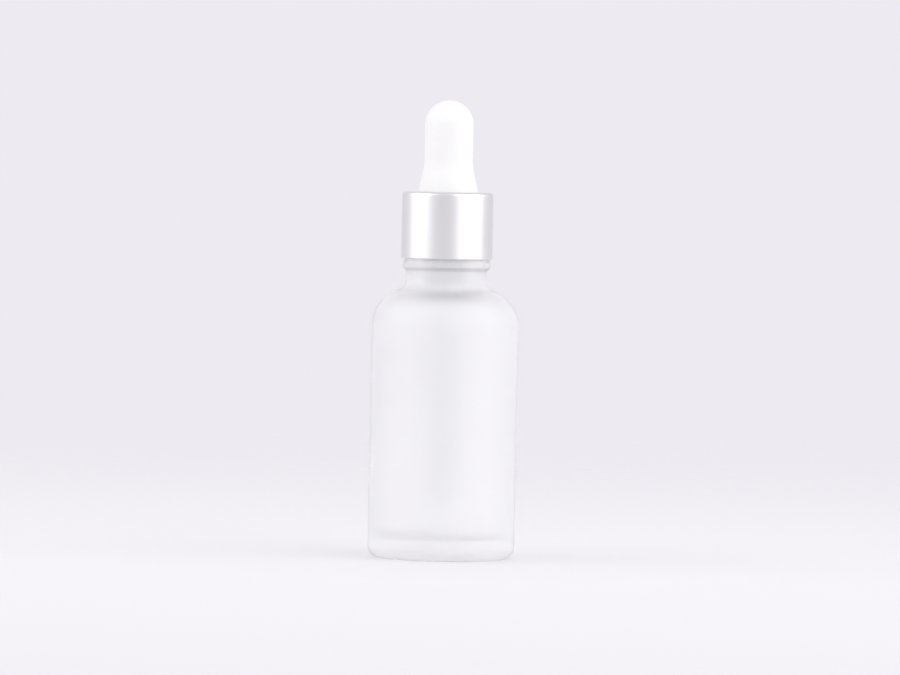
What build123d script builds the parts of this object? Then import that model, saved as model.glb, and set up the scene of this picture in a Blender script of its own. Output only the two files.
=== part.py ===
"""Dropper bottle, 30 ml: frosted glass bottle with a screw-on medicine dropper.

The dropper closure is a silicone teat on a glass pipette, held by an inner cap with the thread
and covered by an aluminium collar. The origin is the centre of the base, +Z is up, and the
bottle's front is towards -Y. All sizes are in millimetres.
"""

import os
from math import atan2, copysign, degrees, radians, sqrt, tan

from build123d import *

os.makedirs("parts", exist_ok=True)

# ---------------------------------------------------------------- bottle
BODY_RADIUS = 16.5
BODY_WALL_HEIGHT = 52.0  # top of the straight wall above the base
SHOULDER_RADIUS = 8.5
BASE_CORNER_RADIUS = 2.6
REST_RING_WIDTH = 2.9
PUSH_UP = 1.0  # how far the middle of the underside is hollowed
GLASS_WALL = 2.1
BASE_THICKNESS = 4.5
FLOOR_CORNER_RADIUS = 3.0
NECK_STEP = 1.15  # how far the neck below the bead stands out from the thread's root
NECK_FILLET = 2.6
NECK_LENGTH = 3.9  # shoulder top to the underside of the bead
NECK_WALL = 3.25  # thread's root to the bore
THROAT_FILLET = 2.0  # rounding where the shoulder opens into the bore
BEAD_STEP = 2.05  # how far the bead's edge stands out from the thread's root
BEAD_RISE = 0.8  # underside of the bead, from the neck out to its edge
BEAD_TOP_STEP = 1.5  # the same, at the top of the bead's cone
BEAD_CONE_HEIGHT = 2.8
BEAD_SHELF_SLOPE = 0.4  # rise per unit inwards, from the bead's cone to the thread's root
BEAD_ROUNDING = 0.25
FINISH_HEIGHT = 14.05  # underside of the bead to the rim
RIM_ROUNDING = 0.6

# ---------------------------------------------------------------- 18 mm screw thread
THREAD_PITCH = 3.0
THREAD_TURNS = 1.5
THREAD_ROOT_RADIUS = 7.85
THREAD_DEPTH = 1.0
THREAD_CREST_WIDTH = 0.8
THREAD_FLANK_ANGLE = 35.0
THREAD_START_BELOW_RIM = 2.35  # middle of the ridge's top end
THREAD_EMBED = 0.25  # how far a ridge reaches into the wall it stands on
FLANK_CLEARANCE = 0.2
THREAD_RADIAL_CLEARANCE = 0.1
CAP_RIDGE_CREST_CLEARANCE = 0.2

# ---------------------------------------------------------------- closure
WASHER_THICKNESS = 0.6
WASHER_INSET = 0.05  # washer's edge inside the thread's root
FLANGE_THICKNESS = 1.23
FLANGE_OVERHANG = 0.15  # teat flange's edge outside the thread's root
FLANGE_WIDTH = 1.21  # teat's stem to the flange's edge
CAP_WALL = 0.85
CAP_TOP_THICKNESS = 1.3
COLLAR_WALL = 0.4
COLLAR_HEIGHT = 14.95
COLLAR_EDGE_RADIUS = 0.8
SEAT_GAP = 0.05  # between the washer and the glass rim
FACE_GAP = 0.02  # between faces of the closure that rest on each other
SKIRT_CLEARANCE = 0.3  # between the cap's skirt and the top of the bead
COLLAR_FIT = 0.05  # between the cap and the collar around it
STEM_CLEARANCE = 0.11  # between the teat's stem and the hole in the cap
COLLAR_HOLE_MARGIN = 0.1  # how much wider the collar's hole is than the cap's

# ---------------------------------------------------------------- teat
TEAT_RADIUS = 5.45
TEAT_WAIST_RADIUS = 5.38
TEAT_HEIGHT = 20.6  # above the collar
TEAT_FLARE_ANGLE = 13.5
TEAT_FLARE_BLEND = 12.0
TEAT_WALL = 1.4
PINCH_HALF_WIDTH = 2.8
PINCH_LENGTH = 10.0
PINCH_BELOW_TOP = 4.15
PINCH_GAP = 0.1

# ---------------------------------------------------------------- pipette
PIPETTE_RADIUS = 3.5
PIPETTE_WALL = 1.0
PIPETTE_FLOOR_CLEARANCE = 6.0  # tip to the bottle's floor
PIPETTE_TIP_RADIUS = 1.5
PIPETTE_TIP_LENGTH = 2.5
PIPETTE_TAPER_LENGTH = 8.0
PIPETTE_ORIFICE_RADIUS = 0.6
PIPETTE_END_ROUNDING = 0.3
PIPETTE_BEAD_STEP = 0.4
PIPETTE_BEAD_HEIGHT = 1.1
PIPETTE_GRIP = 5.3  # length held in the teat, below the bead
PIPETTE_WASHER_CLEARANCE = 0.1

# ---------------------------------------------------------------- levels up the bottle's axis
shoulder_top = BODY_WALL_HEIGHT + SHOULDER_RADIUS
bead_bottom = shoulder_top + NECK_LENGTH
bead_edge = bead_bottom + BEAD_RISE
bead_top = bead_edge + BEAD_CONE_HEIGHT
bead_shelf = bead_top + BEAD_TOP_STEP * BEAD_SHELF_SLOPE
rim = bead_bottom + FINISH_HEIGHT

washer_bottom = rim + SEAT_GAP
flange_bottom = washer_bottom + WASHER_THICKNESS + FACE_GAP
flange_top = flange_bottom + FLANGE_THICKNESS
cap_ceiling = flange_top + FACE_GAP
cap_top = cap_ceiling + CAP_TOP_THICKNESS
collar_top = cap_top + COLLAR_WALL
cap_bottom = bead_shelf + SKIRT_CLEARANCE
teat_top = collar_top + TEAT_HEIGHT
dome_centre = teat_top - TEAT_RADIUS
teat_bore_top = flange_bottom + PIPETTE_GRIP

# ---------------------------------------------------------------- radii of the neck and closure
neck_radius = THREAD_ROOT_RADIUS + NECK_STEP
neck_bore_radius = THREAD_ROOT_RADIUS - NECK_WALL
bead_radius = THREAD_ROOT_RADIUS + BEAD_STEP
bead_top_radius = THREAD_ROOT_RADIUS + BEAD_TOP_STEP
washer_radius = THREAD_ROOT_RADIUS - WASHER_INSET
flange_radius = THREAD_ROOT_RADIUS + FLANGE_OVERHANG
stem_radius = flange_radius - FLANGE_WIDTH
thread_crest_radius = THREAD_ROOT_RADIUS + THREAD_DEPTH
cap_bore_radius = thread_crest_radius + THREAD_RADIAL_CLEARANCE
cap_radius = cap_bore_radius + CAP_WALL
cap_hole_radius = stem_radius + STEM_CLEARANCE
collar_radius = cap_radius + COLLAR_FIT + COLLAR_WALL
cavity_radius = TEAT_RADIUS - TEAT_WALL

# ---------------------------------------------------------------- thread section
flank_slope = tan(radians(THREAD_FLANK_ANGLE))
crest_half_width = THREAD_CREST_WIDTH / 2
thread_rise = THREAD_PITCH * THREAD_TURNS
thread_start = rim - THREAD_START_BELOW_RIM - thread_rise
cap_crest_radius = THREAD_ROOT_RADIUS + CAP_RIDGE_CREST_CLEARANCE
groove_half_width = THREAD_PITCH / 2 - crest_half_width  # at the neck ridge's crest
cap_ridge_height = thread_crest_radius - cap_crest_radius  # as far as the two ridges overlap
cap_crest_half_width = groove_half_width - FLANK_CLEARANCE - cap_ridge_height * flank_slope


def throat_angle(centre_radius, arc_radius, throat_radius, fillet_radius):
    """Turn of a shoulder arc before a fillet carries it into an upright throat.

    The fillet touches both the arc and the upright line, so its centre is one fillet radius
    outside the throat and the two radii together away from the arc's centre.
    """
    across = throat_radius + fillet_radius - centre_radius
    apart = arc_radius + fillet_radius
    return degrees(atan2(sqrt(apart**2 - across**2), across))


def screw_ridge(wall_radius, crest_radius, half_width, start):
    """Ridge of the thread, wound up round a wall from the height start, on the +X side.

    half_width is half the width of its flat crest, which may stand outside or inside the wall.
    Its flanks carry on into the wall, so that they cross the wall's face cleanly.
    """
    foot_radius = wall_radius - copysign(THREAD_EMBED, crest_radius - wall_radius)
    foot_half_width = half_width + abs(crest_radius - foot_radius) * flank_slope
    with BuildPart() as ridge:
        with BuildLine():
            helix = Helix(THREAD_PITCH, thread_rise, wall_radius, center=(0, 0, start))
        with BuildSketch(Plane.XZ):
            with BuildLine():
                Polyline(
                    (foot_radius, start - foot_half_width),
                    (crest_radius, start - half_width),
                    (crest_radius, start + half_width),
                    (foot_radius, start + foot_half_width),
                    close=True,
                )
            make_face()
        sweep(path=helix, is_frenet=True)
    return ridge.part


def finish(builder, name):
    """Label a finished piece and write it under its own name."""
    builder.part.label = name
    export_step(builder.part, f"parts/{name}.step")


# ---------------------------------------------------------------- bottle
shoulder_centre_radius = BODY_RADIUS - SHOULDER_RADIUS
inner_radius = BODY_RADIUS - GLASS_WALL
inner_shoulder_radius = SHOULDER_RADIUS - GLASS_WALL
outer_turn = throat_angle(shoulder_centre_radius, SHOULDER_RADIUS, neck_radius, NECK_FILLET)
inner_turn = throat_angle(
    shoulder_centre_radius, inner_shoulder_radius, neck_bore_radius, THROAT_FILLET
)
rest_ring_radius = BODY_RADIUS - BASE_CORNER_RADIUS - REST_RING_WIDTH

with BuildPart() as bottle:
    with BuildSketch(Plane.XZ):
        with BuildLine():
            underside = TangentArc((0, PUSH_UP), (rest_ring_radius, 0), tangent=(1, 0))
            rest_ring = Line(underside @ 1, (BODY_RADIUS - BASE_CORNER_RADIUS, 0))
            heel = JernArc(rest_ring @ 1, (1, 0), BASE_CORNER_RADIUS, 90)
            wall = Line(heel @ 1, (BODY_RADIUS, BODY_WALL_HEIGHT))
            shoulder = JernArc(wall @ 1, (0, 1), SHOULDER_RADIUS, outer_turn)
            throat = JernArc(shoulder @ 1, shoulder % 1, NECK_FILLET, -outer_turn)
            neck = FilletPolyline(
                throat @ 1,
                (neck_radius, bead_bottom),
                (bead_radius, bead_edge),
                (bead_top_radius, bead_top),
                (THREAD_ROOT_RADIUS, bead_shelf),
                (THREAD_ROOT_RADIUS, rim),
                radius=BEAD_ROUNDING,
            )
            Polyline(neck @ 1, (0, rim), underside @ 0)
        make_face()
    revolve(axis=Axis.Z)
    with BuildSketch(Plane.XZ):
        with BuildLine():
            floor = Line((0, BASE_THICKNESS), (inner_radius - FLOOR_CORNER_RADIUS, BASE_THICKNESS))
            floor_corner = JernArc(floor @ 1, (1, 0), FLOOR_CORNER_RADIUS, 90)
            inner_wall = Line(floor_corner @ 1, (inner_radius, BODY_WALL_HEIGHT))
            inner_shoulder = JernArc(inner_wall @ 1, (0, 1), inner_shoulder_radius, inner_turn)
            inner_throat = JernArc(
                inner_shoulder @ 1, inner_shoulder % 1, THROAT_FILLET, -inner_turn
            )
            Polyline(inner_throat @ 1, (neck_bore_radius, rim), (0, rim), floor @ 0)
        make_face()
    revolve(axis=Axis.Z, mode=Mode.SUBTRACT)
    fillet(bottle.edges().filter_by(GeomType.CIRCLE).group_by(Axis.Z)[-1], RIM_ROUNDING)
    add(screw_ridge(THREAD_ROOT_RADIUS, thread_crest_radius, crest_half_width, thread_start))
finish(bottle, "bottle")

# ---------------------------------------------------------------- inner cap
# Its ridge runs in the middle of the groove below the neck's ridge, half a pitch lower.
cap_thread_start = thread_start - THREAD_PITCH / 2

with BuildPart() as inner_cap:
    with BuildSketch(Plane.XY.offset(cap_bottom)):
        Circle(cap_radius)
        Circle(cap_bore_radius, mode=Mode.SUBTRACT)
    extrude(amount=cap_top - cap_bottom)
    with BuildSketch(Plane.XY.offset(cap_ceiling)):
        Circle(cap_radius)
        Circle(cap_hole_radius, mode=Mode.SUBTRACT)
    extrude(amount=CAP_TOP_THICKNESS)
    cap_edge = inner_cap.edges().group_by(Axis.Z)[-1].sort_by(SortBy.RADIUS)[-1]
    fillet(cap_edge, COLLAR_EDGE_RADIUS - COLLAR_WALL)
    add(screw_ridge(cap_bore_radius, cap_crest_radius, cap_crest_half_width, cap_thread_start))
finish(inner_cap, "inner_cap")

# ---------------------------------------------------------------- collar shell
with BuildPart() as collar_shell:
    with BuildSketch(Plane.XY.offset(collar_top - COLLAR_HEIGHT)):
        Circle(collar_radius)
    extrude(amount=COLLAR_HEIGHT)
    fillet(collar_shell.edges().group_by(Axis.Z)[-1], COLLAR_EDGE_RADIUS)
    offset(amount=-COLLAR_WALL, openings=collar_shell.faces().sort_by(Axis.Z)[0])
    with BuildSketch(Plane.XY.offset(collar_top)):
        Circle(cap_hole_radius + COLLAR_HOLE_MARGIN)
    extrude(amount=-COLLAR_WALL, mode=Mode.SUBTRACT)
finish(collar_shell, "collar_shell")

# ---------------------------------------------------------------- sealing washer
with BuildPart() as sealing_washer:
    with BuildSketch(Plane.XY.offset(washer_bottom)):
        Circle(washer_radius)
        Circle(PIPETTE_RADIUS + PIPETTE_WASHER_CLEARANCE, mode=Mode.SUBTRACT)
    extrude(amount=WASHER_THICKNESS)
finish(sealing_washer, "sealing_washer")

# ---------------------------------------------------------------- pipette
pipette_tip = BASE_THICKNESS + PIPETTE_FLOOR_CLEARANCE
taper_bottom = pipette_tip + PIPETTE_TIP_LENGTH
taper_top = taper_bottom + PIPETTE_TAPER_LENGTH
bead_seat = teat_bore_top + FACE_GAP
pipette_top = bead_seat + PIPETTE_BEAD_HEIGHT
pipette_bore_radius = PIPETTE_RADIUS - PIPETTE_WALL
pipette_bead_radius = PIPETTE_RADIUS + PIPETTE_BEAD_STEP

with BuildPart() as pipette:
    with BuildSketch(Plane.XZ):
        with BuildLine():
            Polyline(
                (PIPETTE_ORIFICE_RADIUS, pipette_tip),
                (PIPETTE_TIP_RADIUS, pipette_tip),
                (PIPETTE_TIP_RADIUS, taper_bottom),
                (PIPETTE_RADIUS, taper_top),
                (PIPETTE_RADIUS, bead_seat),
                (pipette_bead_radius, bead_seat),
                (pipette_bead_radius, pipette_top),
                (pipette_bore_radius, pipette_top),
                (pipette_bore_radius, taper_top),
                (PIPETTE_ORIFICE_RADIUS, taper_bottom),
                close=True,
            )
        make_face()
    revolve(axis=Axis.Z)
    ends = pipette.edges().filter_by(GeomType.CIRCLE).group_by(Axis.Z)
    fillet(ends[0] + ends[-1], PIPETTE_END_ROUNDING)
finish(pipette, "pipette")

# ---------------------------------------------------------------- teat
flare_height = (stem_radius - TEAT_WAIST_RADIUS) / tan(radians(TEAT_FLARE_ANGLE))
cavity_bottom = pipette_top
grip_radius = PIPETTE_RADIUS + FACE_GAP
bead_pocket_radius = pipette_bead_radius + FACE_GAP

with BuildSketch(Plane.XZ) as teat_outline:
    with BuildLine():
        dome = JernArc((0, teat_top), (1, 0), TEAT_RADIUS, -90)
        side = FilletPolyline(
            dome @ 1,
            (TEAT_WAIST_RADIUS, collar_top + flare_height),
            (stem_radius, collar_top),
            radius=TEAT_FLARE_BLEND,
        )
        Polyline(
            side @ 1,
            (stem_radius, flange_top),
            (flange_radius, flange_top),
            (flange_radius, flange_bottom),
            (0, flange_bottom),
            dome @ 0,
        )
    make_face()

with BuildSketch(Plane.XZ) as teat_hollow:
    with BuildLine():
        inner_dome = JernArc((0, dome_centre + cavity_radius), (1, 0), cavity_radius, -90)
        Polyline(
            inner_dome @ 1,
            (cavity_radius, cavity_bottom),
            (bead_pocket_radius, cavity_bottom),
            (bead_pocket_radius, teat_bore_top),
            (grip_radius, teat_bore_top),
            (grip_radius, flange_bottom),
            (0, flange_bottom),
            inner_dome @ 0,
        )
    make_face()

# The thumb and finger press two patches of the wall, one in front and one behind.
pinch_middle = teat_top - PINCH_BELOW_TOP - PINCH_LENGTH / 2

with BuildSketch(Plane.XZ) as pinch_patch:
    with Locations((0, pinch_middle)):
        SlotOverall(PINCH_LENGTH, 2 * PINCH_HALF_WIDTH, rotation=90)

with BuildSketch(Plane.XZ) as pinch_window:
    with Locations((0, pinch_middle)):
        SlotOverall(PINCH_LENGTH + 2 * PINCH_GAP, 2 * (PINCH_HALF_WIDTH + PINCH_GAP), rotation=90)

with BuildPart() as teat:
    revolve(teat_outline.sketch, axis=Axis.Z)
    revolve(teat_hollow.sketch, axis=Axis.Z, mode=Mode.SUBTRACT)
    extrude(pinch_window.sketch, amount=stem_radius, both=True, mode=Mode.SUBTRACT)
finish(teat, "teat")

with BuildPart() as teat_wall_front:
    extrude(pinch_patch.sketch, amount=stem_radius)
    revolve(teat_outline.sketch, axis=Axis.Z, mode=Mode.INTERSECT)
    revolve(teat_hollow.sketch, axis=Axis.Z, mode=Mode.SUBTRACT)
finish(teat_wall_front, "teat_wall_front")

with BuildPart() as teat_wall_back:
    mirror(teat_wall_front.part, about=Plane.XZ)
finish(teat_wall_back, "teat_wall_back")
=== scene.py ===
"""Frosted glass dropper bottle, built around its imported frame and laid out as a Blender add-on.

Every turned piece is a profile of lines and arcs, as (distance from the axis, height above the
base), carried round the bottle's upright axis. The front of the bottle is towards -Y.
"""

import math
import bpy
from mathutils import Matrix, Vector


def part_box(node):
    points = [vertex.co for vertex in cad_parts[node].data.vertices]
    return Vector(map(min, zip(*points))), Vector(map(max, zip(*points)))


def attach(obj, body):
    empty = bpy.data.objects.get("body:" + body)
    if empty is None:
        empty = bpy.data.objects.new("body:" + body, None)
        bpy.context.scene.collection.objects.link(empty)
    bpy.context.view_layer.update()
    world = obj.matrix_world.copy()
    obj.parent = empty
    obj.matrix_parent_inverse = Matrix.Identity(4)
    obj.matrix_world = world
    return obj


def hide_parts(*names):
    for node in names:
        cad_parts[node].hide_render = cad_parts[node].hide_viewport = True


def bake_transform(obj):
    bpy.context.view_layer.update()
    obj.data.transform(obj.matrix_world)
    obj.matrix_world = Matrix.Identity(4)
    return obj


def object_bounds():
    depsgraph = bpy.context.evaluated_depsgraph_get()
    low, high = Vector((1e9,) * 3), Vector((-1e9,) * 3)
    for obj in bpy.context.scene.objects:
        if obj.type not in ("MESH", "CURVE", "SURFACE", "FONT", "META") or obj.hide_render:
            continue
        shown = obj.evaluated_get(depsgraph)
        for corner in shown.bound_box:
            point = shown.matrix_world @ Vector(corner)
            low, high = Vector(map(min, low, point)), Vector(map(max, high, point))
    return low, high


bl_info = {
    "name": "Dropper Bottle",
    "version": (1, 0, 0),
    "blender": (4, 5, 0),
    "location": "View3D > Sidebar > Dropper Bottle",
    "description": "Builds a frosted glass dropper bottle with its collar, teat and pipette",
    "category": "Add Mesh",
}

import bpy
import numpy as np
from bpy.props import FloatProperty, FloatVectorProperty, PointerProperty
from bpy.types import Operator, Panel, PropertyGroup
from mathutils import Euler, Quaternion, Vector

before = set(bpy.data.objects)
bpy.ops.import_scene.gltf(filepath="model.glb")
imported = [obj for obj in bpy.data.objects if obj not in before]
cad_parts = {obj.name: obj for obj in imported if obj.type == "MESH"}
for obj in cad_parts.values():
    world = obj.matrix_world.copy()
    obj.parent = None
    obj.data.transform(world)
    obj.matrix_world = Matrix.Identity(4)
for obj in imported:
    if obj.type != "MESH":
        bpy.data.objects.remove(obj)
cad_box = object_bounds()

TAU = 2 * math.pi
FINE = 0.00012  # spacing of the rows of points across a thread's ridge

# Steps round a full turn, by how closely each piece is seen.
BOTTLE_STEPS = 192
COLLAR_STEPS = 192
CAP_STEPS = 160
WASHER_STEPS = 96
PIPETTE_STEPS = 96
HALF_TEAT_STEPS = 96

# Etched glass scatters light many times over in its surface. The number of bounces that a
# render follows loses most of that light, so the glass is given a low index, a share of plain
# diffuse scatter in place of the rest of the transmission, and a soft coat for the highlights.
ETCHED_INDEX = 1.16
ETCHED_TRANSMISSION = 0.74
ETCHED_COAT = 0.8
ETCHED_COAT_ROUGHNESS = 0.42
CLEAR_INDEX = 1.47
SILICONE_INDEX = 1.41
POLYPROPYLENE_INDEX = 1.49
POLYETHYLENE_INDEX = 1.5
UNEVEN = 0.03  # how far the roughness strays from its setting

# Waviness of the bottle's inside: share, waves round the turn, radians from floor to shoulder
# and first angle of each sine.
WAVES = ((1.0, 2, 5, 0.7), (0.7, 3, -9, 0.0), (0.4, 5, 14, 2.1))
WAVE_FADE = 6  # the waviness fades over one part in this many at both ends of the wall

SOFTBOX_DISTANCE = 0.85
# Direction towards the right and upwards in degrees, width and height, and colour.
RIGHT_SOFTBOX = (62, 27, (1.3, 0.9), (1.0, 0.995, 0.985))
LEFT_SOFTBOX = (-74, 27, (1.0, 0.9), (1.0, 1.0, 1.0))
# Shade of the surroundings by the direction's part towards the back, and by its part upwards.
ROUND_SHADES = (
    (-1.0, 0.9),
    (-0.75, 0.98),
    (0.0, 1.04),
    (0.45, 1.0),
    (0.85, 0.98),
    (0.97, 0.99),
    (1.0, 1.0),
)
HEIGHT_SHADES = ((-1.0, 1.0), (-0.1, 1.0), (0.2, 1.0), (0.5, 1.05), (0.8, 1.0), (1.0, 0.9))
SENSOR_WIDTH = 36.0
CLIP_NEAR = 0.05
CLIP_FAR = 20.0
FLOOR_SPOKES = 96
FLOOR_RINGS = 24


def top_of(node):
    """Height of a CAD node's highest point."""
    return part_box(node)[1].z


def bottom_of(node):
    """Height of a CAD node's lowest point."""
    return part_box(node)[0].z


def radius_of(node):
    """Half the width of a round CAD node."""
    low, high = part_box(node)
    return (high.x - low.x) / 2


def outline_of(node):
    """Radius, top and bottom of a round CAD node."""
    return radius_of(node), top_of(node), bottom_of(node)


# ------------------------------------------------------------------ settings


def size(name, description, default):
    """A length in metres that a user may change."""
    return FloatProperty(
        name=name, description=description, default=default, min=0.0, precision=5, unit="LENGTH"
    )


def colour(name, description, default):
    """A linear colour that a user may change."""
    return FloatVectorProperty(
        name=name, description=description, default=default, subtype="COLOR", size=3, min=0.0, max=1.0
    )


def share(name, description, default):
    """A number from 0 to 1 that a user may change."""
    return FloatProperty(
        name=name, description=description, default=default, min=0.0, max=1.0, subtype="FACTOR"
    )


class BottleSettings(PropertyGroup):
    """Sizes and finish of the glass bottle."""

    wall_height: size("Wall height", "Top of the straight wall above the base", 0.052)
    shoulder_radius: size("Shoulder radius", "Radius of the round shoulder", 0.0085)
    heel_radius: size("Heel radius", "Rounding between the wall and the base", 0.0026)
    ring_width: size("Ring width", "Width of the flat ring that the bottle stands on", 0.0029)
    push_up: size("Push-up", "How far the middle of the underside is hollowed", 0.001)
    wall: size("Wall", "Thickness of the glass", 0.0021)
    floor_height: size("Floor", "Height of the inner floor above the base", 0.0045)
    floor_radius: size("Floor radius", "Rounding between the inner floor and wall", 0.003)
    neck_step: size("Neck step", "Neck below the bead, outside the thread's root", 0.00115)
    neck_fillet: size("Neck fillet", "Rounding between the shoulder and the neck", 0.0026)
    neck_length: size("Neck length", "Shoulder's top to the underside of the bead", 0.0039)
    bore_radius: size("Bore radius", "Radius of the opening through the neck", 0.0046)
    throat_fillet: size("Throat fillet", "Rounding where the shoulder opens into the bore", 0.002)
    bead_step: size("Bead step", "Edge of the bead, outside the thread's root", 0.00205)
    bead_rise: size("Bead rise", "Underside of the bead, from the neck out to its edge", 0.0008)
    bead_top_step: size("Bead top step", "Top of the bead's cone, outside the thread's root", 0.0015)
    bead_cone: size("Bead cone", "Height of the cone above the bead's edge", 0.0028)
    bead_edge: size("Bead rounding", "Rounding of the bead's corners", 0.00025)
    rim_radius: size("Rim radius", "Rounding of the rim", 0.0006)
    ripple: size("Ripple", "Unevenness of the blown inner wall", 0.00009)
    tint: colour("Tint", "Colour of the glass", (1.0, 1.0, 1.0))
    frost: share("Frost", "Roughness of the etched outside", 0.55)
    inner_frost: share("Inner frost", "Roughness of the inside", 0.35)


class ThreadSettings(PropertyGroup):
    """Sizes of the screw thread on the neck and in the cap."""

    pitch: size("Pitch", "Rise of the thread in one turn", 0.003)
    turns: FloatProperty(name="Turns", description="Length of the thread in turns", default=1.5)
    root_radius: size("Root radius", "Radius of the neck between the thread's ridges", 0.00785)
    depth: size("Depth", "How far a ridge stands out", 0.00097)
    crest: size("Crest", "Half the width of a ridge's flat crest", 0.0003)
    flank: size("Flank", "Width of a ridge's slope on one side", 0.00068)
    below_rim: size("Below the rim", "Rim to the middle of the ridge's top end", 0.00235)
    fade: FloatProperty(name="Fade", description="Part of a turn in which a ridge dies away", default=0.07)


class ClosureSettings(PropertyGroup):
    """Sizes and finish of the collar, the inner cap and the washer."""

    sheet: size("Sheet", "Thickness of the collar's aluminium", 0.0004)
    edge_radius: size("Edge radius", "Rounding of the collar's top edge", 0.0008)
    hem_radius: size("Hem radius", "Rounding of the collar's lower edge", 0.00014)
    hole_radius: size("Hole radius", "Opening in the collar's top", 0.007)
    cap_hole_radius: size("Cap hole", "Opening in the inner cap's top", 0.0069)
    cap_bore_radius: size("Cap bore", "Inside of the cap's skirt", 0.00895)
    cap_top: size("Cap top", "Thickness of the inner cap's top", 0.0013)
    cap_edge: size("Cap edge", "Rounding of the inner cap's corners", 0.0002)
    thread_play: size("Thread play", "Gap between the cap's ridge and the neck", 0.00024)
    washer_hole: size("Washer hole", "Opening in the sealing washer", 0.0036)
    washer_edge: size("Washer edge", "Rounding of the washer's corners", 0.00012)
    metal: colour("Metal", "Colour of the anodised aluminium", (0.79, 0.79, 0.79))
    satin: share("Satin", "Roughness of the anodised surface", 0.36)
    plastic: colour("Plastic", "Colour of the cap and washer", (0.88, 0.88, 0.87))


class TeatSettings(PropertyGroup):
    """Sizes and finish of the silicone teat."""

    radius: size("Radius", "Radius of the bulb", 0.00545)
    waist_radius: size("Waist radius", "Radius just above the flare", 0.00538)
    stem_radius: size("Stem radius", "Radius where the teat enters the collar", 0.00679)
    flare_height: size("Flare height", "Height of the flare above the collar", 0.00587)
    flare_blend: size("Flare blend", "Radius of the curve from the bulb into the flare", 0.012)
    stem_blend: size("Stem blend", "Rounding of the flare into the stem", 0.0003)
    edge: size("Edge", "Rounding of the flange's and the pocket's corners", 0.0001)
    wall: size("Wall", "Thickness of the bulb", 0.0014)
    flange: size("Flange", "Thickness of the flange held under the cap", 0.00123)
    grip_radius: size("Grip radius", "Bore that holds the pipette", 0.00352)
    pocket_radius: size("Pocket radius", "Pocket that holds the pipette's bead", 0.00392)
    pocket_height: size("Pocket height", "Height of that pocket", 0.00112)
    give: size("Give", "Depth over which a pressed wall bends into the bulb", 0.0044)
    tuck: size("Tuck", "How far each part's edge hides under the next part", 0.000015)
    lap: size("Lap", "Half the height over which the two parts of a wall overlap", 0.0004)
    silicone: colour("Silicone", "Colour of the silicone", (0.865, 0.865, 0.85))


class PipetteSettings(PropertyGroup):
    """Sizes and finish of the glass pipette."""

    radius: size("Radius", "Outer radius of the tube", 0.0035)
    wall: size("Wall", "Thickness of the tube", 0.001)
    bead_height: size("Bead height", "Height of the bead at the top", 0.0011)
    tip_radius: size("Tip radius", "Outer radius of the tip", 0.0015)
    tip_length: size("Tip length", "Straight length of the tip", 0.0025)
    taper: size("Taper", "Length of the taper above the tip", 0.008)
    orifice: size("Orifice", "Radius of the hole in the tip", 0.0006)
    edge: size("Edge", "Rounding of the fire-polished ends", 0.0003)
    drawn: size("Drawn curve", "Rounding of the taper's corners", 0.006)
    tint: colour("Tint", "Colour of the clear glass", (0.98, 0.99, 0.99))


class StudioSettings(PropertyGroup):
    """Camera, floor and lights."""

    distance: FloatProperty(
        name="Distance", description="Camera to the bottle", default=1.274, unit="LENGTH"
    )
    aim_right: FloatProperty(
        name="Aim right", description="Camera's aim beside the axis", default=0.0011, unit="LENGTH"
    )
    aim_height: FloatProperty(
        name="Aim height", description="Camera's aim above the floor", default=0.0495, unit="LENGTH"
    )
    lens: FloatProperty(name="Lens", description="Focal length in millimetres", default=227.1)
    tilt: FloatProperty(
        name="Tilt", description="How far the camera looks down", default=math.radians(1.47), unit="ROTATION"
    )
    roll: FloatProperty(
        name="Roll", description="How far the camera leans", default=math.radians(1.15), unit="ROTATION"
    )
    backdrop: colour("Backdrop", "Colour behind the bottle", (0.847, 0.831, 0.880))
    floor: colour("Floor", "Colour of the floor", (0.47, 0.47, 0.465))
    floor_glow: share("Floor glow", "Light that comes up through the floor", 0.42)
    floor_radius: size("Floor radius", "Where the floor has faded into the backdrop", 0.62)
    floor_solid: size("Solid floor", "Where the floor begins to fade", 0.08)
    right_light: FloatProperty(name="Right light", description="Brightness of that softbox", default=1.2)
    left_light: FloatProperty(name="Left light", description="Brightness of that softbox", default=1.0)


SETTINGS = {
    "dropper_bottle": BottleSettings,
    "dropper_thread": ThreadSettings,
    "dropper_closure": ClosureSettings,
    "dropper_teat": TeatSettings,
    "dropper_pipette": PipetteSettings,
    "dropper_studio": StudioSettings,
}

# ------------------------------------------------------------------ profiles


def line(start, end, steps=8):
    """Points along a straight line, closer together near its ends.

    The share of the way along is (1 - cos(pi u)) / 2 for u evenly from 0 to 1, so the surface
    keeps its flatness right up to the rounding next to it.
    """
    along = (1 - np.cos(np.linspace(0, math.pi, steps + 1))) / 2
    return np.outer(1 - along, start) + np.outer(along, end)


def arc(centre, radius, first, last, steps=10):
    """Points on a circle: centre plus radius times (cos, sin) of angles from first to last, in degrees."""
    angles = np.radians(np.linspace(first, last, steps + 1))
    return np.array(centre) + radius * np.stack([np.cos(angles), np.sin(angles)], axis=1)


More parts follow.
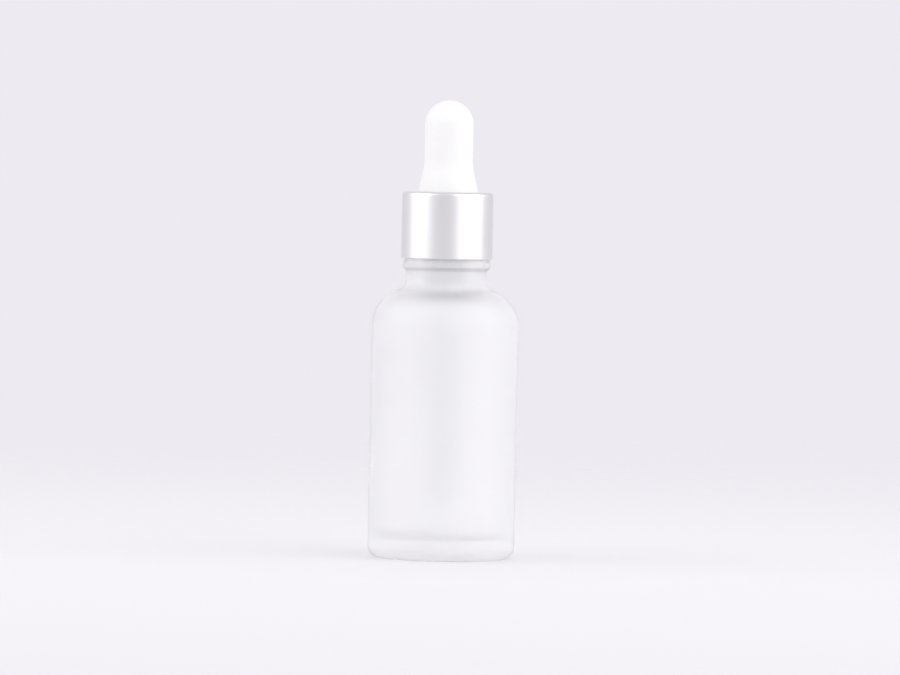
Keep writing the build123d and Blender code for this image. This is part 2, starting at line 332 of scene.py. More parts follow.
def rounded(points, radii, steps=6, straight=6):
    """Open outline through corner points, each inner corner rounded by its own radius.

    A rounding touches both sides at radius times tan(half the turn) from the corner. Its points
    are that circle's, whose centre lies one radius to the inner side of the turn.
    """
    points = [np.array(p, float) for p in points]
    pieces, at = [], points[0]
    for before, corner, after, radius in zip(points, points[1:], points[2:], radii):
        come = (corner - before) / np.linalg.norm(corner - before)
        go = (after - corner) / np.linalg.norm(after - corner)
        cross = come[0] * go[1] - come[1] * go[0]
        turn = math.atan2(cross, come @ go)
        reach = radius * math.tan(abs(turn) / 2)
        touch = corner - reach * come
        side = math.copysign(1.0, turn)
        centre = touch + side * radius * np.array([-come[1], come[0]])
        start = math.degrees(math.atan2(*(touch - centre)[::-1]))
        pieces.append(line(at, touch, straight))
        pieces.append(arc(centre, radius, start, start + math.degrees(turn), steps))
        at = corner + reach * go
    pieces.append(line(at, points[-1], straight))
    return joined(*pieces)


def ring(corners, radii, steps=6, straight=6):
    """Closed outline round corner points, each rounded by its own radius, begun mid-way on a side."""
    middle = (np.array(corners[0]) + np.array(corners[-1])) / 2
    return rounded([middle, *corners, middle], radii, steps, straight)[:-1]


def joined(*pieces):
    """One outline from several, with points that coincide at the joins kept once."""
    points = np.vstack(pieces)
    apart = np.linalg.norm(np.diff(points, axis=0), axis=1)
    return points[np.concatenate([[True], apart > 1e-8])]


def refined(profile, low, high, step):
    """The outline with extra points on its runs between two heights, no further apart than step."""
    pieces = []
    for a, b in zip(profile[:-1], profile[1:]):
        inside = low <= (a[1] + b[1]) / 2 <= high
        count = max(1, math.ceil(abs(b[1] - a[1]) / step)) if inside else 1
        pieces.append(np.linspace(a, b, count + 1)[:-1])
    return np.vstack(pieces + [profile[-1:]])


# ------------------------------------------------------------------ meshes


def outline_normals(profile, closed):
    """Outward direction at each outline point, as (outwards, upwards).

    Each run's normal is its direction turned a right angle to the right. A point takes the mean
    of its two runs' normals weighted by their lengths, so flats stay flat beside small roundings.
    """
    runs = np.diff(profile, axis=0, append=profile[:1] if closed else profile[-1:])
    across = np.stack([runs[:, 1], -runs[:, 0]], axis=1)
    before = np.roll(across, 1, axis=0)
    if not closed:
        before[0] = across[0]
        across[-1] = before[-1]
    total = across + before
    return total / np.linalg.norm(total, axis=1, keepdims=True)


def mesh_from(name, points, polygons):
    """Mesh object from points and a list of arrays of equal-sided faces."""
    mesh = bpy.data.meshes.new(name)
    sizes = np.concatenate([np.full(len(p), p.shape[1]) for p in polygons])
    corners = np.concatenate([p.ravel() for p in polygons])
    mesh.vertices.add(len(points))
    mesh.vertices.foreach_set("co", points.astype(np.float32).ravel())
    mesh.loops.add(len(corners))
    mesh.loops.foreach_set("vertex_index", corners.astype(np.int32))
    mesh.polygons.add(len(sizes))
    mesh.polygons.foreach_set("loop_start", (np.cumsum(sizes) - sizes).astype(np.int32))
    mesh.update(calc_edges=True)
    if mesh.validate():
        raise RuntimeError(f"{name}: the mesh had faults")
    mesh.shade_smooth()
    piece = bpy.data.objects.new(name, mesh)
    bpy.context.scene.collection.objects.link(piece)
    return piece


def turned(
    name, profile, closed, segments, relief=None, inside=None, first=0.0, sweep=TAU, tuck=0.0
):
    """Turned piece: a profile carried round the Z axis, outside on its right as it runs.

    Point (i, j) is (r cos a, r sin a, z), where r and z are the profile's i-th point and a is the
    j-th of evenly spaced angles. relief adds to r, as a function of angle, r and z on the whole
    grid. Profile ends on the axis become one point each. A sweep of less than a full turn gets a
    flat face at either end, in the shape of the profile's outline, and tuck draws those two ends
    in towards the axis so that they hide under the piece next to them.
    """
    whole = sweep > TAU - 1e-6
    columns = segments if whole else segments + 1
    angles = first + sweep * np.arange(columns) / segments
    r, z = profile[:, :1], profile[:, 1:]
    radii = np.repeat(r, columns, axis=1)
    if relief is not None:
        radii = radii + relief(np.broadcast_to(angles, radii.shape), r, z)
    if not whole:
        radii[:, [0, -1]] = np.maximum(radii[:, [0, -1]] - tuck, 0.0)
    grid = np.stack(
        [radii * np.cos(angles), radii * np.sin(angles), np.repeat(z, columns, axis=1)], axis=2
    )
    rows = len(profile)
    index = np.arange(rows * columns).reshape(rows, columns)
    if not closed:
        index[0] = index[0, 0]
        index[-1] = index[-1, 0]
    if whole:
        index = np.hstack([index, index[:, :1]])
    if closed:
        index = np.vstack([index, index[:1]])
    # Columns run anticlockwise and the outside is on the profile's right, so faces go this way.
    quads = np.stack(
        [index[:-1, :-1], index[:-1, 1:], index[1:, 1:], index[1:, :-1]], axis=2
    ).reshape(-1, 4)
    start_cap = (quads[:, 0] == quads[:, 1]) & (not closed)
    end_cap = (quads[:, 2] == quads[:, 3]) & (not closed)
    polygons = [
        quads[~(start_cap | end_cap)],
        quads[start_cap][:, [0, 2, 3]],
        quads[end_cap][:, [0, 1, 2]],
    ]
    if not whole:
        polygons += [index[:rows, 0][None, :], index[:rows, -1][::-1][None, :]]
    polygons = [p for p in polygons if len(p)]
    used, compact = np.unique(np.concatenate([p.ravel() for p in polygons]), return_inverse=True)
    points = grid.reshape(-1, 3)[used]
    cuts = np.cumsum([p.size for p in polygons])[:-1]
    polygons = [c.reshape(p.shape) for c, p in zip(np.split(compact, cuts), polygons)]
    piece = mesh_from(name, points, polygons)
    if relief is None:
        shade_as_turned(piece.data, profile, closed, angles, columns, used, polygons, whole)
    if inside is not None:
        layer = piece.data.attributes.new("inside", "FLOAT", "POINT")
        layer.data.foreach_set("value", np.repeat(inside, columns)[used].astype(np.float32))
    return piece


def shade_as_turned(mesh, profile, closed, angles, columns, used, polygons, whole):
    """Gives every face corner the turned surface's own normal.

    It is (n cos a, n sin a, m) for the outline's normal (n, m) and the point's angle a. The flat
    end faces of a part turn have the normal of their plane instead.
    """
    outward = outline_normals(profile, closed)
    across = outward[:, :1]
    normals = np.stack(
        [across * np.cos(angles), across * np.sin(angles), np.repeat(outward[:, 1:], columns, axis=1)],
        axis=2,
    ).reshape(-1, 3)[used]
    corners = np.concatenate([p.ravel() for p in polygons])
    directions = normals[corners]
    if not whole:
        ends = polygons[-1].size
        low, high = angles[0], angles[-1]
        directions[-2 * ends : -ends] = (math.sin(low), -math.cos(low), 0)
        directions[-ends:] = (-math.sin(high), math.cos(high), 0)
    mesh.normals_split_custom_set(directions.tolist())


def smoothstep(values):
    """3 t^2 - 2 t^3 of values held between 0 and 1."""
    t = np.clip(values, 0, 1)
    return t * t * (3 - 2 * t)


def thread_relief(thread, start, low, high, rise, sign):
    """Relief of a screw ridge on an upright wall between two heights.

    At angle a the ridge's middle stands at start + pitch (a / tau + k) for whole k. A point at a
    distance d above or below it is raised by rise times the smooth step of
    (crest + flank - d) / flank, times a fade at both ends of the ridge. The relief is the largest
    of these, outwards for sign 1 and inwards for sign -1.
    """

    def relief(angles, r, z):
        best = np.zeros(angles.shape)
        for k in range(-1, math.ceil(thread.turns) + 1):
            turn = angles / TAU + k
            away = np.abs(z - start - thread.pitch * turn)
            height = smoothstep((thread.crest + thread.flank - away) / thread.flank)
            ends = smoothstep(turn / thread.fade) * smoothstep((thread.turns - turn) / thread.fade)
            best = np.maximum(best, height * ends)
        return sign * rise * best * ((z > low) & (z < high))

    return relief


# ------------------------------------------------------------------ materials


class Nodes:
    """Short-hand for wiring one material's nodes."""

    def __init__(self, name):
        self.material = bpy.data.materials.new(name)
        self.material.use_nodes = True
        self.tree = self.material.node_tree
        self.shader = self.tree.nodes["Principled BSDF"]
        self.output = self.tree.nodes["Material Output"]
        self.object = self.add("ShaderNodeTexCoord").outputs["Object"]

    def add(self, kind, inputs=(), **settings):
        """New node of a kind, with its settings, and its inputs given as values or sockets."""
        node = self.tree.nodes.new(kind)
        for key, value in settings.items():
            setattr(node, key, value)
        for key, value in dict(inputs).items():
            self.set(node.inputs[key], value)
        return node

    def set(self, socket, value):
        """Links a socket, or writes a plain value into it."""
        if isinstance(value, bpy.types.NodeSocket):
            self.tree.links.new(value, socket)
        else:
            socket.default_value = value

    def finish(self, **inputs):
        """Sets the surface shader's own inputs, spelt with underscores for spaces."""
        for key, value in inputs.items():
            self.set(self.shader.inputs[key.replace("_", " ")], value)
        return self.material

    def noise(self, scale, detail=2.0, stretch=(1, 1, 1), distortion=0.0):
        """Grey noise on object coordinates, scale in cells per metre."""
        mapped = self.add(
            "ShaderNodeMapping", {"Vector": self.object, "Scale": tuple(scale * s for s in stretch)}
        )
        inputs = {
            "Vector": mapped.outputs["Vector"],
            "Scale": 1.0,
            "Detail": detail,
            "Roughness": 0.5,
            "Distortion": distortion,
        }
        return self.add("ShaderNodeTexNoise", inputs).outputs["Fac"]

    def spread(self, value, low, high, start=0.3, end=0.7):
        """Value between start and end mapped to low and high."""
        inputs = {"Value": value, "From Min": start, "From Max": end, "To Min": low, "To Max": high}
        return self.add("ShaderNodeMapRange", inputs).outputs["Result"]

    def mix(self, factor, first, second):
        """Colour between two, by a factor."""
        node = self.add("ShaderNodeMix", data_type="RGBA")
        for index, value in ((0, factor), (6, first), (7, second)):
            self.set(node.inputs[index], value)
        return node.outputs[2]

    def bump(self, height, distance, strength=1.0, normal=None):
        """Bumped normal from a height of 0 to 1 that stands for a distance in metres."""
        inputs = {"Height": height, "Distance": distance, "Strength": strength}
        if normal is not None:
            inputs["Normal"] = normal
        return self.add("ShaderNodeBump", inputs).outputs["Normal"]


def rgba(values, factor=1.0):
    """Colour with full alpha, each part times a factor."""
    return (*(v * factor for v in values), 1.0)


def frosted_glass(settings):
    """Acid-etched glass: rough outside with a fine grain, smoother inside."""
    n = Nodes("frosted_glass")
    inside = n.add("ShaderNodeAttribute", attribute_name="inside").outputs["Fac"]
    grain = n.noise(3800, detail=3)
    cloud = n.noise(70, detail=3)
    etched = n.spread(cloud, settings.frost - UNEVEN, settings.frost + UNEVEN)
    speckled = n.spread(grain, -UNEVEN, UNEVEN)
    frost = n.add("ShaderNodeMath", {0: etched, 1: speckled}, operation="ADD").outputs[0]
    either = {"A": frost, "B": settings.inner_frost, "Factor": inside}
    rough = n.add("ShaderNodeMix", either).outputs["Result"]
    relief = n.add("ShaderNodeMath", {0: 1.0, 1: inside}, operation="SUBTRACT").outputs[0]
    etch = n.add("ShaderNodeMath", {0: grain, 1: relief}, operation="MULTIPLY").outputs[0]
    return n.finish(
        Base_Color=rgba(settings.tint),
        Roughness=rough,
        IOR=ETCHED_INDEX,
        Transmission_Weight=ETCHED_TRANSMISSION,
        Coat_Weight=ETCHED_COAT,
        Coat_Roughness=ETCHED_COAT_ROUGHNESS,
        Normal=n.bump(etch, distance=0.00004, strength=0.5),
    )


def satin_aluminium(settings):
    """Bead-blasted, anodised aluminium: soft gloss with a very fine grain and faint turning lines."""
    n = Nodes("satin_aluminium")
    grain = n.noise(5200, detail=2)
    lines = n.noise(1, detail=2, stretch=(60, 60, 5200))
    cloud = n.noise(90, detail=2)
    tone = n.mix(n.spread(cloud, 0, 1), rgba(settings.metal, 0.985), rgba(settings.metal))
    rough = n.spread(grain, settings.satin - UNEVEN, settings.satin + UNEVEN)
    turned_lines = n.bump(lines, distance=0.000006, strength=0.5)
    normal = n.bump(grain, distance=0.000012, strength=0.6, normal=turned_lines)
    return n.finish(Base_Color=tone, Metallic=1.0, Roughness=rough, Normal=normal)


def white_silicone(settings):
    """Matte silicone: a soft skin with a powdery sheen and a fine moulded texture."""
    n = Nodes("white_silicone")
    grain = n.noise(2600, detail=3)
    cloud = n.noise(140, detail=3)
    tone = n.mix(n.spread(cloud, 0, 1), rgba(settings.silicone, 0.985), rgba(settings.silicone))
    rough = n.spread(grain, 0.5, 0.62)
    return n.finish(
        Base_Color=tone,
        Roughness=rough,
        IOR=SILICONE_INDEX,
        Sheen_Weight=0.12,
        Sheen_Roughness=0.5,
        Normal=n.bump(grain, distance=0.00003, strength=0.5),
    )


def white_plastic(settings):
    """Injection-moulded polypropylene: a waxy white with shallow flow marks."""
    n = Nodes("white_plastic")
    grain = n.noise(1800, detail=2)
    flow = n.noise(150, detail=4, distortion=1.5)
    tone = n.mix(n.spread(flow, 0, 1), rgba(settings.plastic, 0.97), rgba(settings.plastic))
    rough = n.spread(flow, 0.36, 0.46)
    return n.finish(
        Base_Color=tone,
        Roughness=rough,
        IOR=POLYPROPYLENE_INDEX,
        Normal=n.bump(grain, distance=0.00002, strength=0.5),
    )


def washer_foam(settings):
    """Foamed polyethylene: closed cells that show as small pits, each darkened towards its middle as painted
    shade.
    """
    n = Nodes("washer_foam")
    cells = n.add(
        "ShaderNodeTexVoronoi", {"Vector": n.object, "Scale": 3500.0}, feature="SMOOTH_F1"
    ).outputs["Distance"]
    # Painted shade: the colour is darkest in the middle of each pit, where the bump is deepest.
    tone = n.mix(n.spread(cells, 0, 1), rgba(settings.plastic, 0.93), rgba(settings.plastic))
    return n.finish(
        Base_Color=tone,
        Roughness=0.6,
        IOR=POLYETHYLENE_INDEX,
        Normal=n.bump(cells, distance=0.00006, strength=0.6),
    )


def clear_glass(settings):
    """Drawn glass tube: clear, with faint draw lines along its length."""
    n = Nodes("clear_glass")
    lines = n.noise(1, detail=2, stretch=(1400, 1400, 12))
    return n.finish(
        Base_Color=rgba(settings.tint),
        Roughness=0.03,
        IOR=CLEAR_INDEX,
        Transmission_Weight=1.0,
        Normal=n.bump(lines, distance=0.00001, strength=0.35),
    )


def studio_floor(settings):
    """Pale card: a faint tooth and an even painted glow in the backdrop's colour, though the floor is no
    lamp, fading out into the backdrop far from the bottle.
    """
    n = Nodes("studio_floor")
    tooth = n.noise(900, detail=3)
    tone = n.mix(n.spread(tooth, 0, 1), rgba(settings.floor, 0.99), rgba(settings.floor))
    material = n.finish(
        Base_Color=tone,
        Roughness=0.85,
        # Painted light: the floor glows evenly, which lights the bottle's base and weakens its shadow.
        Emission_Color=rgba(settings.backdrop),
        Emission_Strength=settings.floor_glow,
        Normal=n.bump(tooth, distance=0.00005, strength=0.2),
    )
    away = n.add("ShaderNodeVectorMath", {0: n.object}, operation="LENGTH").outputs["Value"]
    seen = n.spread(away, 1.0, 0.0, settings.floor_solid, settings.floor_radius)
    through = n.add("ShaderNodeBsdfTransparent")
    mixed = n.add("ShaderNodeMixShader", {0: seen, 1: through.outputs[0], 2: n.shader.outputs[0]})
    n.tree.links.new(mixed.outputs[0], n.output.inputs["Surface"])
    return material


# ------------------------------------------------------------------ pieces


def place(piece, body, slot, material, *nodes):
    """Gives a finished piece its material and body, and hides the CAD nodes that it stands for."""
    piece.data.materials.append(material)
    if body:
        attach(piece, body)
    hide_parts(*nodes)


def shoulder(centre, arc_radius, throat_radius, fillet_radius):
    """Outline from an upright wall over a round shoulder and through a fillet into a throat.

    The fillet's centre is one fillet radius outside the throat and both radii together away from
    the shoulder's centre. So the cosine of the shoulder's turn is the distance between the two
    centres across, over both radii together.
    """
    reach = arc_radius + fillet_radius
    turn = math.acos((throat_radius + fillet_radius - centre[0]) / reach)
    over = arc(centre, arc_radius, 0, math.degrees(turn), 24)
    fillet_centre = np.array(centre) + reach * np.array([math.cos(turn), math.sin(turn)])
    return joined(over, arc(fillet_centre, fillet_radius, math.degrees(turn) + 180, 180, 10))


def thread_start(thread):
    """Height of the middle of the neck ridge's lower end."""
    return top_of("bottle") - thread.below_rim - thread.pitch * thread.turns


class DROPPER_OT_bottle(Operator):
    """Build the frosted glass bottle with its bead, thread and blown inside"""

    bl_idname = "dropper.bottle"
    bl_label = "Glass Bottle"

    def execute(self, context):
        s, t = context.scene.dropper_bottle, context.scene.dropper_thread
        radius, rim = radius_of("bottle"), top_of("bottle")
        root = t.root_radius
        centre = (radius - s.shoulder_radius, s.wall_height)
        bead = s.wall_height + s.shoulder_radius + s.neck_length
        edge = bead + s.bead_rise
        cone = edge + s.bead_cone
        shelf = cone + (s.bead_top_step - s.bead_edge) / 2
        # The push-up is a shallow cap of a sphere, as wide as the inside of the resting ring.
        inner_ring = radius - s.heel_radius - s.ring_width
        sphere = (inner_ring**2 + s.push_up**2) / (2 * s.push_up)
        spread = math.degrees(math.asin(inner_ring / sphere))
        underside = arc((0, s.push_up - sphere), sphere, 90, 90 - spread, 10)
        heel = arc((radius - s.heel_radius, s.heel_radius), s.heel_radius, -90, 0, 14)
        outer_shoulder = shoulder(centre, s.shoulder_radius, root + s.neck_step, s.neck_fillet)
        below_rim = rim - 2 * s.rim_radius
        neck = rounded(
            [
                outer_shoulder[-1],
                (root + s.neck_step, bead),
                (root + s.bead_step, edge),
                (root + s.bead_top_step, cone),
                (root, shelf),
                (root, rim),
                (s.bore_radius, rim),
                (s.bore_radius, below_rim),
            ],
            (s.bead_edge,) * 4 + (s.rim_radius,) * 2,
        )
        neck = refined(neck, shelf, below_rim, FINE)
        wall = line(heel[-1], (radius, s.wall_height), 30)
        outside = joined(underside, heel, wall, outer_shoulder, neck)
        inner_radius = radius - s.wall
        inner_shoulder = shoulder(centre, s.shoulder_radius - s.wall, s.bore_radius, s.throat_fillet)
        corner = (inner_radius - s.floor_radius, s.floor_height + s.floor_radius)
        hollow = joined(
            line((s.bore_radius, below_rim), inner_shoulder[-1], 12),
            inner_shoulder[::-1],
            line((inner_radius, s.wall_height), (inner_radius, corner[1]), 40),
            arc(corner, s.floor_radius, 0, -90, 14),
            line((corner[0], s.floor_height), (0, s.floor_height), 12),
        )
        profile = joined(outside, hollow)
        profile[0, 0] = profile[-1, 0] = 0.0
        inside = np.arange(len(profile)) >= len(outside) - 1
        ridge = thread_relief(t, thread_start(t), shelf, below_rim, t.depth, 1)

        def relief(angles, r, z):
            """The thread outside; inside, a slow waviness that dies away at both ends of the wall.

            The waviness is a sum of sines of the angle and the height together, over the sum of
            their shares, times the smooth step of the height from either end.
            """
            up = (z - corner[1]) / (s.wall_height - corner[1])
            wave = sum(
                part * np.sin(waves * angles + climb * up + begin)
                for part, waves, climb, begin in WAVES
            )
            held = smoothstep(up * WAVE_FADE) * smoothstep((1 - up) * WAVE_FADE)
            ripple = s.ripple * wave / sum(part for part, *_ in WAVES) * held
            return np.where(inside[:, None], ripple, ridge(angles, r, z))

        piece = turned("bottle_glass", profile, False, BOTTLE_STEPS, relief, inside)
        place(piece, "bottle", "frosted_glass", frosted_glass(s), "bottle")
        return {"FINISHED"}


class DROPPER_OT_closure(Operator):
    """Build the aluminium collar and the threaded inner cap"""

    bl_idname = "dropper.closure"
    bl_label = "Collar and Inner Cap"

    def execute(self, context):
        s, t = context.scene.dropper_closure, context.scene.dropper_thread
        outer, top, bottom = outline_of("collar_shell")
        inner, under = outer - s.sheet, top - s.sheet
        inner_edge = s.edge_radius - s.sheet
        collar = ring(
            [
                (outer, top),
                (s.hole_radius, top),
                (s.hole_radius, under),
                (inner, under),
                (inner, bottom),
                (outer, bottom),
            ],
            (s.edge_radius, s.hem_radius, s.hem_radius, inner_edge, s.hem_radius, s.hem_radius),
        )
        piece = turned("collar_aluminium", collar, True, COLLAR_STEPS)
        place(piece, "closure", "satin_aluminium", satin_aluminium(s), "collar_shell")

        outer, top, bottom = outline_of("inner_cap")
        ceiling = top - s.cap_top
        bore = s.cap_bore_radius
        cap = ring(
            [
                (bore, bottom),
                (outer, bottom),
                (outer, top),
                (s.cap_hole_radius, top),
                (s.cap_hole_radius, ceiling),
                (bore, ceiling),
            ],
            (s.cap_edge, s.cap_edge, inner_edge, s.cap_edge, s.cap_edge, s.cap_edge),
        )
        low, high = bottom + s.cap_edge, ceiling - s.cap_edge
        cap = refined(cap, low, high, FINE)
        depth = bore - t.root_radius - s.thread_play
        ridge = thread_relief(t, thread_start(t) - t.pitch / 2, low, high, depth, -1)

        def relief(angles, r, z):
            """The ridge, on the wall of the bore alone."""
            return ridge(angles, r, z) * (np.abs(r - bore) < FINE / 10)

        piece = turned("inner_cap_plastic", cap, True, CAP_STEPS, relief)
        place(piece, "closure", "white_plastic", white_plastic(s), "inner_cap")
        return {"FINISHED"}


class DROPPER_OT_washer(Operator):
    """Build the foam washer that seals the closure on the rim"""

    bl_idname = "dropper.washer"
    bl_label = "Sealing Washer"

    def execute(self, context):
        s = context.scene.dropper_closure
        outer, top, bottom = outline_of("sealing_washer")
        corners = [(outer, top), (s.washer_hole, top), (s.washer_hole, bottom), (outer, bottom)]
        washer = ring(corners, (s.washer_edge,) * 4)
        piece = turned("sealing_washer_foam", washer, True, WASHER_STEPS)
        place(piece, "dropper", "washer_plastic", washer_foam(s), "sealing_washer")
        return {"FINISHED"}


class DROPPER_OT_teat(Operator):
    """Build the silicone teat as front and back halves, each in an upper and a lower part"""

    bl_idname = "dropper.teat"
    bl_label = "Teat"

    def execute(self, context):
        s = context.scene.dropper_teat
        flange_radius, top, bottom = outline_of("teat")
        collar_top = top_of("collar_shell")
        bulb = top - s.radius
        hollow_radius = s.radius - s.wall
        pocket_top = top_of("pipette")
        pocket_bottom = pocket_top - s.pocket_height
        waist_height = collar_top + s.flare_height
        # The bulb is made in an upper and a lower part, which meet where fingers press it.
        pinch = (bottom_of("teat_wall_front") + top_of("teat_wall_front")) / 2
        high, low = pinch + s.lap, pinch - s.lap
        high_radius, low_radius = np.interp(
            (high, low), (waist_height, bulb), (s.waist_radius, s.radius)
        )
        # Both outlines run down the outside, so they are reversed to have it on their right.
        crown = joined(
            arc((0, bulb), s.radius, 90, 0, 28),
            rounded(
                [
                    (s.radius, bulb),
                    (high_radius, high),
                    (low_radius - s.tuck, low),
                    (hollow_radius + s.tuck, low),
                    (hollow_radius, high),
                    (hollow_radius, bulb),
                ],
                (s.edge, s.tuck / 2, s.tuck / 2, s.edge),
                straight=10,
            ),
            arc((0, bulb), hollow_radius, 0, 90, 20),
        )[::-1]
        crown[0, 0] = crown[-1, 0] = 0.0
        base = ring(
            [
                (high_radius - s.tuck, high),
                (low_radius, low),
                (s.waist_radius, waist_height),
                (s.stem_radius, collar_top),
                (s.stem_radius, bottom + s.flange),
                (flange_radius, bottom + s.flange),
                (flange_radius, bottom),
                (s.grip_radius, bottom),
                (s.grip_radius, pocket_bottom),
                (s.pocket_radius, pocket_bottom),
                (s.pocket_radius, pocket_top),
                (hollow_radius, pocket_top),
                (hollow_radius, low),
                (hollow_radius + s.tuck, high),
            ],
            (s.tuck / 2, s.edge, s.flare_blend, s.stem_blend)
            + (s.edge,) * 6
            + (s.edge / 2, s.edge / 2, s.edge, s.tuck / 2),
            steps=10,
            straight=10,
        )[::-1]
        rubber = white_silicone(s)
        overlap = math.pi / HALF_TEAT_STEPS
        for name, first, way in (("front", math.pi, -1), ("back", 0.0, 1)):
            parts = (("crown", crown, False, -1), ("base", base, True, 1))
            for part, outline, closed, rise in parts:
                piece = turned(
                    f"teat_{name}_{part}",
                    outline,
                    closed,
                    HALF_TEAT_STEPS + 2,
                    first=first - overlap,
                    sweep=math.pi + 2 * overlap,
                    tuck=s.tuck,
                )
                place(piece, None, "white_silicone", rubber, "teat", f"teat_wall_{name}")
                # lean, a unit direction from the pinch's height above the collar and the stem's radius, is
                # worked out but not used.
                lean = np.array([0.0, way * (pinch - collar_top), rise * s.stem_radius])
                lean /= np.linalg.norm(lean)
                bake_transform(piece)
        return {"FINISHED"}


class DROPPER_OT_pipette(Operator):
    """Build the glass pipette with its drawn tip"""

    bl_idname = "dropper.pipette"
    bl_label = "Pipette"

    def execute(self, context):
        s = context.scene.dropper_pipette
        bead, top, tip = outline_of("pipette")
        seat = top - s.bead_height
        taper_bottom = tip + s.tip_length
        taper_top = taper_bottom + s.taper
        bore = s.radius - s.wall
        tube = ring(
            [
                (s.radius, seat),
                (bead, seat),
                (bead, top),
                (bore, top),
                (bore, taper_top),
                (s.orifice, taper_bottom),
                (s.orifice, tip),
                (s.tip_radius, tip),
                (s.tip_radius, taper_bottom),
                (s.radius, taper_top),
            ],
            (s.edge / 3,) + (s.edge,) * 3 + (s.drawn,) * 2 + (s.edge,) * 2 + (s.drawn,) * 2,
        )
        piece = turned("pipette_glass", tube, True, PIPETTE_STEPS)
        place(piece, "dropper", "clear_glass", clear_glass(s), "pipette")
        return {"FINISHED"}


# ------------------------------------------------------------------ studio


class DROPPER_OT_stage(Operator):
    """Build the floor, the soft lights, the pale surroundings and the camera"""

    bl_idname = "dropper.stage"
    bl_label = "Studio"

    def execute(self, context):
        s = context.scene.dropper_studio
        scene = context.scene
        floor = flat_disc("floor", s.floor_radius)
        floor.data.materials.append(studio_floor(s))
        softbox("right_softbox", s.right_light, *RIGHT_SOFTBOX)
        softbox("left_softbox", s.left_light, *LEFT_SOFTBOX)
        scene.world = surroundings(s)
        camera = bpy.data.objects.new("camera", bpy.data.cameras.new("camera"))
        scene.collection.objects.link(camera)
        camera.data.lens = s.lens
        camera.data.sensor_width = SENSOR_WIDTH
        camera.data.clip_start = CLIP_NEAR
        camera.data.clip_end = CLIP_FAR
        camera.location = (
            s.aim_right,
            -s.distance * math.cos(s.tilt),
            s.aim_height + s.distance * math.sin(s.tilt),
        )
        camera.rotation_mode = "QUATERNION"
        lean = Quaternion((0, 0, 1), s.roll)
        camera.rotation_quaternion = Euler((math.pi / 2 - s.tilt, 0, 0)).to_quaternion() @ lean
        scene.camera = camera
        scene.view_settings.view_transform = "Standard"
        return {"FINISHED"}


def flat_disc(name, radius):
    """Disc on the floor facing up: rings of points (r cos a, r sin a, 0) round one middle point."""
    angles = TAU * np.arange(FLOOR_SPOKES) / FLOOR_SPOKES
    rings = np.linspace(radius, radius / FLOOR_RINGS, FLOOR_RINGS)[:, None]
    grid = np.stack([rings * np.cos(angles), rings * np.sin(angles), 0 * rings * angles], axis=2)
    points = np.vstack([grid.reshape(-1, 3), [[0.0, 0.0, 0.0]]])
    index = np.arange(FLOOR_RINGS * FLOOR_SPOKES).reshape(FLOOR_RINGS, FLOOR_SPOKES)
    index = np.hstack([index, index[:, :1]])
    quads = np.stack([index[:-1, :-1], index[:-1, 1:], index[1:, 1:], index[1:, :-1]], axis=2)
    middle = np.full(FLOOR_SPOKES, len(points) - 1)
    fan = np.stack([index[-1, :-1], index[-1, 1:], middle], axis=1)
    return mesh_from(name, points, [quads.reshape(-1, 4), fan])


def softbox(name, brightness, turn, rise, extent, tint):
    """Rectangular softbox that faces the bottle's middle, and that the camera doesn't see.

    turn is its direction from the bottle in degrees, from the front towards the right, and rise
    is its height in degrees. Its power is its brightness times pi times its area.
    """
    light = bpy.data.lights.new(name, "AREA")
    light.shape = "RECTANGLE"
    light.size, light.size_y = extent
    light.energy = brightness * math.pi * extent[0] * extent[1]
    light.color = tint
    lamp = bpy.data.objects.new(name, light)
    bpy.context.scene.collection.objects.link(lamp)
    turn, rise = math.radians(turn), math.radians(rise)
    away = Vector((math.sin(turn) * math.cos(rise), -math.cos(turn) * math.cos(rise), math.sin(rise)))
    low, high = cad_box
    lamp.location = (low + high) / 2 + SOFTBOX_DISTANCE * away
    lamp.rotation_mode = "QUATERNION"
    lamp.rotation_quaternion = (-away).to_track_quat("-Z", "Y")
    lamp.visible_camera = False


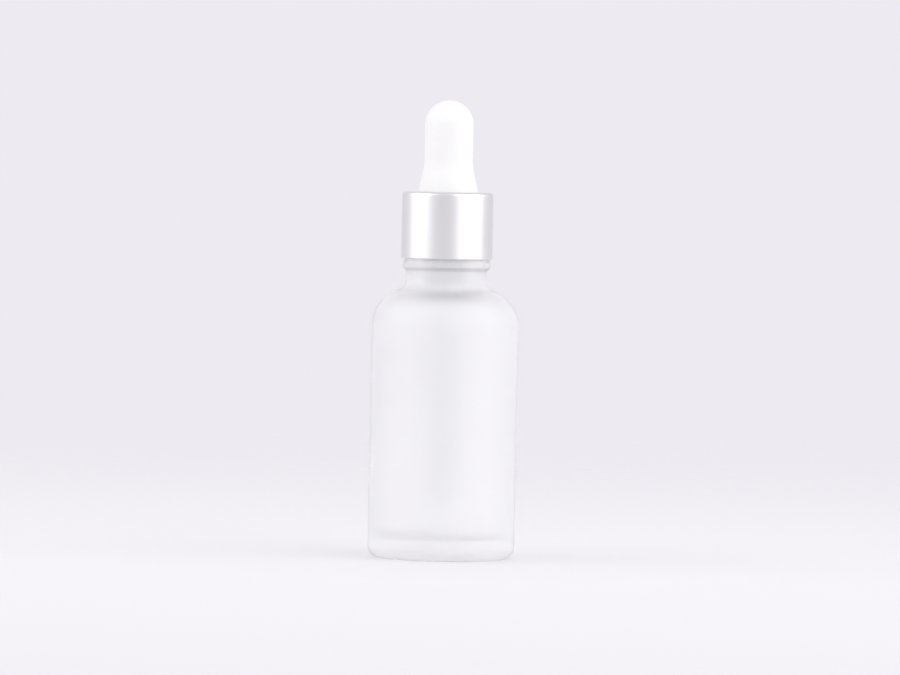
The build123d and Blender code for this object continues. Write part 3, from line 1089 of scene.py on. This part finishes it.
def surroundings(settings):
    """Pale studio all round, as a shade of the direction alone.

    The shade is a smooth ramp over the direction's part towards the back, times another ramp over
    its part upwards.
    """
    world = bpy.data.worlds.new("studio")
    world.use_nodes = True
    tree = world.node_tree
    nodes, links = tree.nodes, tree.links
    split = nodes.new("ShaderNodeSeparateXYZ")
    links.new(nodes.new("ShaderNodeTexCoord").outputs["Generated"], split.inputs[0])
    shades = []
    for part, stops in (("Y", ROUND_SHADES), ("Z", HEIGHT_SHADES)):
        along = nodes.new("ShaderNodeMapRange")
        along.inputs["From Min"].default_value = -1.0
        links.new(split.outputs[part], along.inputs["Value"])
        ramp = nodes.new("ShaderNodeValToRGB")
        ramp.color_ramp.interpolation = "B_SPLINE"
        elements = ramp.color_ramp.elements
        while len(elements) < len(stops):
            elements.new(0.5)
        for element, (at, value) in zip(elements, stops):
            element.position = (at + 1) / 2
            element.color = rgba((value, value, value))
        links.new(along.outputs["Result"], ramp.inputs["Fac"])
        shades.append(ramp.outputs["Color"])
    tone = rgba(settings.backdrop)
    for shade in shades:
        product = nodes.new("ShaderNodeMix")
        product.data_type = "RGBA"
        product.blend_type = "MULTIPLY"
        product.inputs["Factor"].default_value = 1.0
        links.new(shade, product.inputs[7])
        if isinstance(tone, tuple):
            product.inputs[6].default_value = tone
        else:
            links.new(tone, product.inputs[6])
        tone = product.outputs[2]
    links.new(tone, nodes["Background"].inputs["Color"])
    return world


# ------------------------------------------------------------------ add-on

OPERATORS = (
    DROPPER_OT_bottle,
    DROPPER_OT_closure,
    DROPPER_OT_washer,
    DROPPER_OT_teat,
    DROPPER_OT_pipette,
    DROPPER_OT_stage,
)


class DROPPER_PT_panel(Panel):
    """Sidebar panel with one button for each piece and the sizes below it"""

    bl_idname = "DROPPER_PT_panel"
    bl_label = "Dropper Bottle"
    bl_space_type = "VIEW_3D"
    bl_region_type = "UI"
    bl_category = "Dropper Bottle"

    def draw(self, context):
        for operator in OPERATORS:
            self.layout.operator(operator.bl_idname)
        for name, group in SETTINGS.items():
            box = self.layout.box()
            box.label(text=name.split("_")[1].capitalize())
            for key in group.__annotations__:
                box.prop(getattr(context.scene, name), key)


CLASSES = (*SETTINGS.values(), *OPERATORS, DROPPER_PT_panel)


def register():
    """Registers the classes and hangs each group of settings on the scene."""
    for cls in CLASSES:
        bpy.utils.register_class(cls)
    for name, group in SETTINGS.items():
        setattr(bpy.types.Scene, name, PointerProperty(type=group))


def unregister():
    """Takes back what register did."""
    for name in SETTINGS:
        delattr(bpy.types.Scene, name)
    for cls in reversed(CLASSES):
        bpy.utils.unregister_class(cls)


def main():
    """Registers the classes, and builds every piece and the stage."""
    register()
    bpy.ops.dropper.bottle()
    bpy.ops.dropper.closure()
    bpy.ops.dropper.washer()
    bpy.ops.dropper.teat()
    bpy.ops.dropper.pipette()
    bpy.ops.dropper.stage()


if __name__ == "__main__":
    main()
